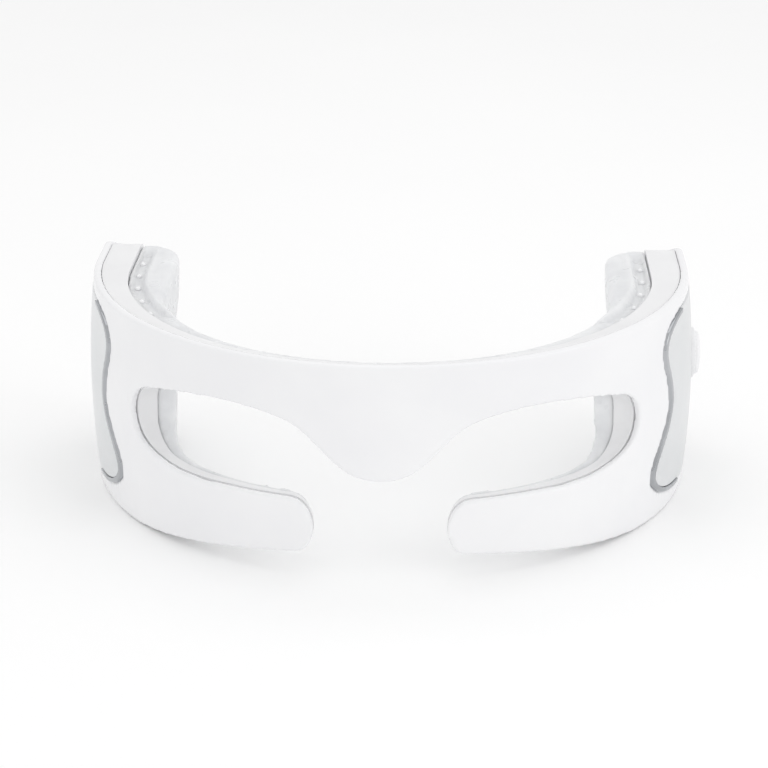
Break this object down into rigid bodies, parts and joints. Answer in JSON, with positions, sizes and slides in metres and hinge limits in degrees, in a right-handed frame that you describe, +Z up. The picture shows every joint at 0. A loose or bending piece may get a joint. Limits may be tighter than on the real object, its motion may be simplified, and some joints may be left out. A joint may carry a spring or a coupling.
{
  "type": "eye massager mask",
  "caption": "Wrap-round see-through eye and temple massager with a glossy white shell, soft translucent liner and pads, silver side panels and a push button.",
  "frame": {"origin": "middle of the footprint, on the surface that the arms stand on; the mask's plane of symmetry is X = 0", "axes": "+X towards the wearer's left (the button's side), +Y from the brow back along the temples, +Z up"},
  "size_m": [0.1991, 0.105, 0.0705],
  "materials": {
    "shell_white": "moulded, polished",
    "frame_grey": "moulded, semi-gloss",
    "liner_silicone": "translucent silicone",
    "pad_foam": "open foam",
    "film_amber": "polyimide film",
    "motor_steel": "drawn steel",
    "weight_steel": "sintered",
    "panel_silver": "satin silver",
    "trim_chrome": "bright chrome",
    "button_white": "moulded, polished",
    "spring_steel": "drawn wire",
    "switch_black": "moulded",
    "switch_red": "moulded",
    "board_green": "solder mask",
    "chip_black": "moulded",
    "socket_steel": "plated",
    "cell_silver": "foil pouch",
    "cable_white": "film cable",
    "screw_steel": "zinc plated"
  },
  "bodies": {
    "mask": {"front_shell": "shell_white", "inner_frame": "frame_grey", "face_liner": "liner_silicone", "left_pad_core": "pad_foam", "right_pad_core": "pad_foam", "left_heating_film": "film_amber", "right_heating_film": "film_amber", "left_motor_can": "motor_steel", "right_motor_can": "motor_steel", "left_side_panel": "panel_silver", "right_side_panel": "panel_silver", "left_trim_strip": "trim_chrome", "right_trim_strip": "trim_chrome", "button_collar": "button_white", "button_spring": "spring_steel", "switch_body": "switch_black", "main_board": "board_green", "board_chips": "chip_black", "buzzer": "chip_black", "socket_shell": "socket_steel", "socket_tongue": "switch_black", "battery_cell": "cell_silver", "battery_board": "board_green", "brow_cable": "cable_white", "casing_screws": "screw_steel"},
    "button": {"power_button": "button_white"},
    "plunger": {"switch_plunger": "switch_red"},
    "left_weight": {"left_motor_weight": "weight_steel"},
    "right_weight": {"right_motor_weight": "weight_steel"}
  },
  "joints": [
    {"name": "button_press", "type": "slide", "parent": "mask", "child": "button", "axis": [-1, 0, 0], "range_m": [0, 0.0007], "stiffness_N_per_m": 1500, "deforming": ["button_spring"]},
    {"name": "plunger_press", "type": "slide", "parent": "mask", "child": "plunger", "axis": [-1, 0, 0], "range_m": [0, 0.0007]},
    {"name": "left_motor_spin", "type": "hinge", "parent": "mask", "child": "left_weight", "pos_m": [0.0775, 0.02, 0.04], "axis": [0, 0, 1], "continuous": true},
    {"name": "right_motor_spin", "type": "hinge", "parent": "mask", "child": "right_weight", "pos_m": [-0.0775, 0.02, 0.04], "axis": [0, 0, 1], "continuous": true}
  ],
  "couplings": [
    {"joint": "plunger_press", "follows": "button_press", "ratio": 1}
  ]
}
